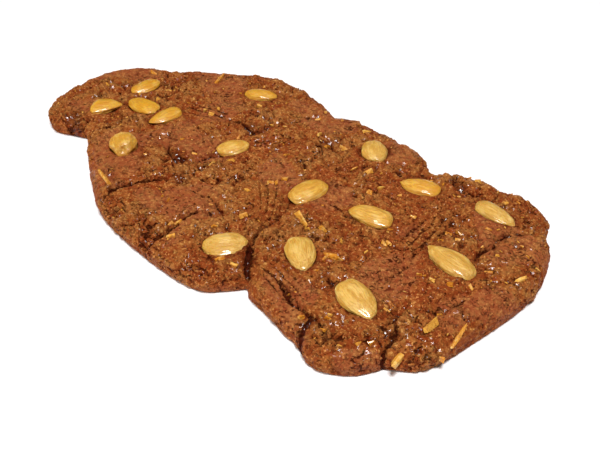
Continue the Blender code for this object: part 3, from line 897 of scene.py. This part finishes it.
# %% The larger bits: x, y in mm, length, width, direction in degrees
BITS = [
    (-54, -73, 16.6, 3.0, -15), (58, -21, 10.2, 2.2, -14), (88, -31, 9.3, 3.2, 3), (56, -70, 6.2, 1.9, 22),
    (-99, 57, 13.2, 3.2, 116), (14, -21, 6.7, 2.0, 8), (152, -57, 11.4, 3.0, 99), (153, -36, 10.8, 3.6, 95),
    (165, -30, 12.7, 4.0, 100), (7, -67, 6.1, 3.0, 78), (168, 20, 6.3, 2.2, 70), (6, 51, 4.9, 2.8, 91),
    (20, 43, 5.7, 2.7, 98), (56, 39, 7.5, 3.2, 68), (103, -5, 5.4, 1.8, 8), (28, -58, 4.0, 2.4, 68),
    (49, -72, 5.2, 1.7, 35), (106, -72, 3.1, 2.0, 67), (139, -61, 4.1, 2.2, 68), (149, -74, 4.1, 2.4, 58),
    (31, -40, 5.5, 1.9, 72), (71, 33, 6.3, 2.0, 61), (82, 36, 2.6, 1.8, 43), (70, 23, 3.3, 1.7, 9),
    (46, 38, 5.4, 1.8, 66), (25, -1, 3.6, 1.8, 44), (24, 17, 3.6, 1.8, 43), (65, -24, 3.6, 1.6, 16),
    (72, -19, 5.9, 1.8, 18), (84, -17, 3.0, 1.2, 11), (100, 24, 3.9, 1.7, 30), (104, -3, 4.8, 1.8, -12),
    (31, -40, 3.9, 1.7, 17), (29, 48, 5.4, 2.6, 5), (26, 75, 5.5, 3.4, 56), (-9, 66, 4.2, 2.0, 26),
    (-26, 39, 3.0, 1.5, 18), (-18, 43, 3.6, 1.5, 23), (-48, 49, 4.4, 2.1, 25), (-64, 19, 4.4, 2.2, 26),
    (-113, 19, 6.2, 3.0, 30), (-142, 29, 6.0, 1.7, 11), (-15, -8, 4.0, 1.9, 27), (-20, -20, 7.4, 1.4, 55),
    (132, -41, 3.4, 1.2, 22), (115, -64, 3.2, 1.2, 31), (130, -72, 3.0, 1.5, 31), (90, -44, 3.8, 1.3, 21),
    (118, -71, 3.6, 1.3, 14), (131, 69, 3.6, 1.9, 44), (156, 61, 3.4, 1.8, -8), (136, 43, 3.6, 1.8, 28),
    (122, 26, 3.8, 1.8, 18), (122, 18, 3.1, 1.3, 29), (129, 24, 3.3, 1.4, 29), (133, 31, 3.1, 1.4, 29),
    (115, 25, 2.4, 1.3, 21), (153, 15, 3.9, 1.3, 33), (170, 34, 3.4, 1.6, 14), (144, -6, 3.9, 1.7, 33),
    (136, -10, 2.9, 1.2, 30), (129, -11, 3.0, 1.2, 30), (151, -25, 2.9, 1.5, 18), (131, -25, 3.1, 1.2, 17),
    (165, -43, 3.0, 1.8, 19), (158, -59, 4.3, 1.6, 29), (109, 76, 3.6, 1.9, 27), (60, -84, 3.3, 1.6, 31),
    (-37, -18, 4.1, 1.6, 27), (8, -44, 3.6, 1.3, 29), (92, -29, 4.2, 1.2, 11), (113, -82, 3.2, 1.8, 60),
]
print("larger bits:", len(BITS))

# %% Finding the skin
RAY_START, TOP_ONLY = 0.05, 5 * MM  # metres over the table: where rays start, and where the top side ends
skin = BVHTree.FromPolygons([v.co[:] for v in dough.data.vertices],
                            [p.vertices[:] for p in dough.data.polygons])


def on_skin(x, y, clear):
    """The skin's point under x, y in mm and its slope, or None off the cookie or within clear mm of a nut."""
    hit, slope, _, _ = skin.ray_cast(Vector((x * MM, y * MM, RAY_START)), Vector((0, 0, -1)))
    if hit is None or hit.z < TOP_ONLY:
        return None
    for placed, sizes in nut_frames.values():
        local = placed.inverted() @ hit
        if math.hypot(local.x / (sizes[0] / 2 + clear * MM), local.y / (sizes[1] / 2 + clear * MM)) < 1:
            return None
    return hit, slope


print("height in the middle:", round(on_skin(0, 0, 0)[0].z / MM, 1), "mm")

# %% Chopping
DICE_SEED = 41
LONG_BIT = 5  # mm: a longer bit has a third ring of corners, and can be quite pale
dice = random.Random(DICE_SEED)


def chop(body, toast, x, y, length, width, degrees):
    """Adds one bit of nut: the hull of the corners of a box, each knocked about, tipped and half sunk."""
    found = on_skin(x, y, 0.4)
    if found is None:
        return
    hit, slope = found
    thick = width * dice.uniform(0.75, 1.1)
    tipped = Vector((dice.uniform(-0.9, 0.9), dice.uniform(-0.9, 0.9), 0))
    up = (slope + Vector((0, 0, 1.0)) + tipped).normalized()
    turn = math.radians(degrees)
    across = up.cross(Vector((math.cos(turn), math.sin(turn), 0))).normalized()
    placed = Matrix((across.cross(up), across, up)).transposed()
    middle = hit + up * thick * dice.uniform(-0.20, 0.22) * MM
    shade = dice.uniform(0.0 if length > LONG_BIT else 0.25, 1.0)
    corners = []
    for end in (-1, -0.2, 1) if length > LONG_BIT else (-1, 1):
        taper = dice.uniform(0.45, 1.25) if abs(end) == 1 else 1.0
        for a, b in ((-1, -1), (1, -1), (1, 1), (-1, 1)):
            roof = (0.45 if b > 0 else 1.1) * taper
            corner = Vector((
                end * length / 2 * dice.uniform(0.6, 1.1) + dice.uniform(-0.08, 0.08) * length,
                (a * roof * dice.uniform(0.5, 1.15) + dice.uniform(-0.25, 0.25)) * width / 2,
                b * thick / 2 * dice.uniform(0.5, 1.2),
            ))
            corners.append(body.verts.new(middle + placed @ corner * MM))
            corners[-1][toast] = shade
    hull = bmesh.ops.convex_hull(body, input=corners)
    spare = [e for e in hull["geom_interior"] + hull["geom_unused"] if isinstance(e, bmesh.types.BMVert)]
    bmesh.ops.delete(body, geom=list(dict.fromkeys(spare)), context="VERTS")


print("a bit has 8 corners, or 12 when it is longer than", LONG_BIT, "mm")

# %% The larger bits, then the scattered ones
SLIVER, WIDER, LONGER = 2.5, 1.35, 1.05  # a bit narrower than SLIVER, in mm, is made wider
SCATTERED = 260
HALF_LENGTH, HALF_WIDTH = 174, 92
LEVEL = 0.75  # least z of the slope under a scattered bit
body = bmesh.new()
toast = body.verts.layers.float.new("toast")
for x, y, length, width, degrees in BITS:
    chop(body, toast, x, y, length * LONGER, width * (WIDER if width < SLIVER else 1.0), degrees)
for _ in range(SCATTERED):
    x, y = dice.uniform(-HALF_LENGTH, HALF_LENGTH), dice.uniform(-HALF_WIDTH, HALF_WIDTH)
    width = 0.9 + 2.0 * dice.random() ** 2.8
    found = on_skin(x, y, 1.5)
    if found and found[1].z > LEVEL:
        chop(body, toast, x, y, width * dice.uniform(1.0, 1.8), width, dice.uniform(0, 180))
body.normal_update()
bmesh.ops.recalc_face_normals(body, faces=body.faces)
mesh = bpy.data.meshes.new("chopped_nuts")
body.to_mesh(mesh)
body.free()
chopped = bpy.data.objects.new("chopped_nuts", mesh)
bpy.context.scene.collection.objects.link(chopped)
print("chopped nuts:", len(mesh.polygons), "faces")

# %% Painted shade: a dark line around each bit
LINE_WIDTH = 1.0
bit_points = np.array([v.co[:] for v in mesh.vertices]) / MM
tree = kdtree.KDTree(len(bit_points))
for i, place in enumerate(bit_points):
    tree.insert(place, i)
tree.balance()
to_bit = np.array([tree.find(place)[2] for place in moved])
keep(dough.data, "shade_by_bit", np.exp(-((to_bit / LINE_WIDTH) ** 2)))
print("points of dough beside a bit:", int((to_bit < LINE_WIDTH).sum()))

# %% Their finish
CUT_PALE, CUT_TOASTED = (0.82, 0.425, 0.060), (0.64, 0.235, 0.014)
CUT_BROWN, CUT_WHITE = (0.40, 0.120, 0.010), (0.80, 0.520, 0.130)


def chopped_finish():
    """Cut nut, each bit toasted to its own shade, with brown and pale clouds."""
    made = Material("chopped nut")
    cloud = made.noise(1.6 * MM, 3.0)
    colour = made.paint(
        made.mix(made.attribute("toast").between(0.1, 0.95), CUT_PALE, CUT_TOASTED),
        (cloud.between(0.46, 0.62) * 0.5, CUT_BROWN),
        (made.noise(2.2 * MM, 2.0).between(0.54, 0.62) * 0.6, CUT_WHITE),
    )
    made.set(Base_Color=colour, Roughness=0.30 + 0.2 * cloud, Normal=made.bump(cloud, 1.0 * MM))
    made.set(Coat_Weight=0.35, Specular_IOR_Level=0.35)
    return made.made


chopped.data.materials.append(chopped_finish())
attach(chopped, "root")
print("chopped nuts done")

# %% [markdown]
# ## The table
#
# The cookie lies on plain pale paper, wide enough to reach past the edges of any view. It is part of the
# stage and not of the cookie. Its speckle is too faint to see, but keeps it from looking like a hole in the
# picture.

# %% The table
TABLE_SIZE = 6.0
PAPER_DARK, PAPER_LIGHT = (0.94, 0.94, 0.94), (0.96, 0.96, 0.96)
bpy.ops.mesh.primitive_plane_add(size=TABLE_SIZE, location=(0, 0, 0))
table = bpy.context.object
table.name = "pale_table"
paper = Material("pale table")
paper.set(Base_Color=paper.mix(paper.noise(3 * MM, 2.0), PAPER_DARK, PAPER_LIGHT), Roughness=0.7)
table.data.materials.append(paper.made)
print("table done")
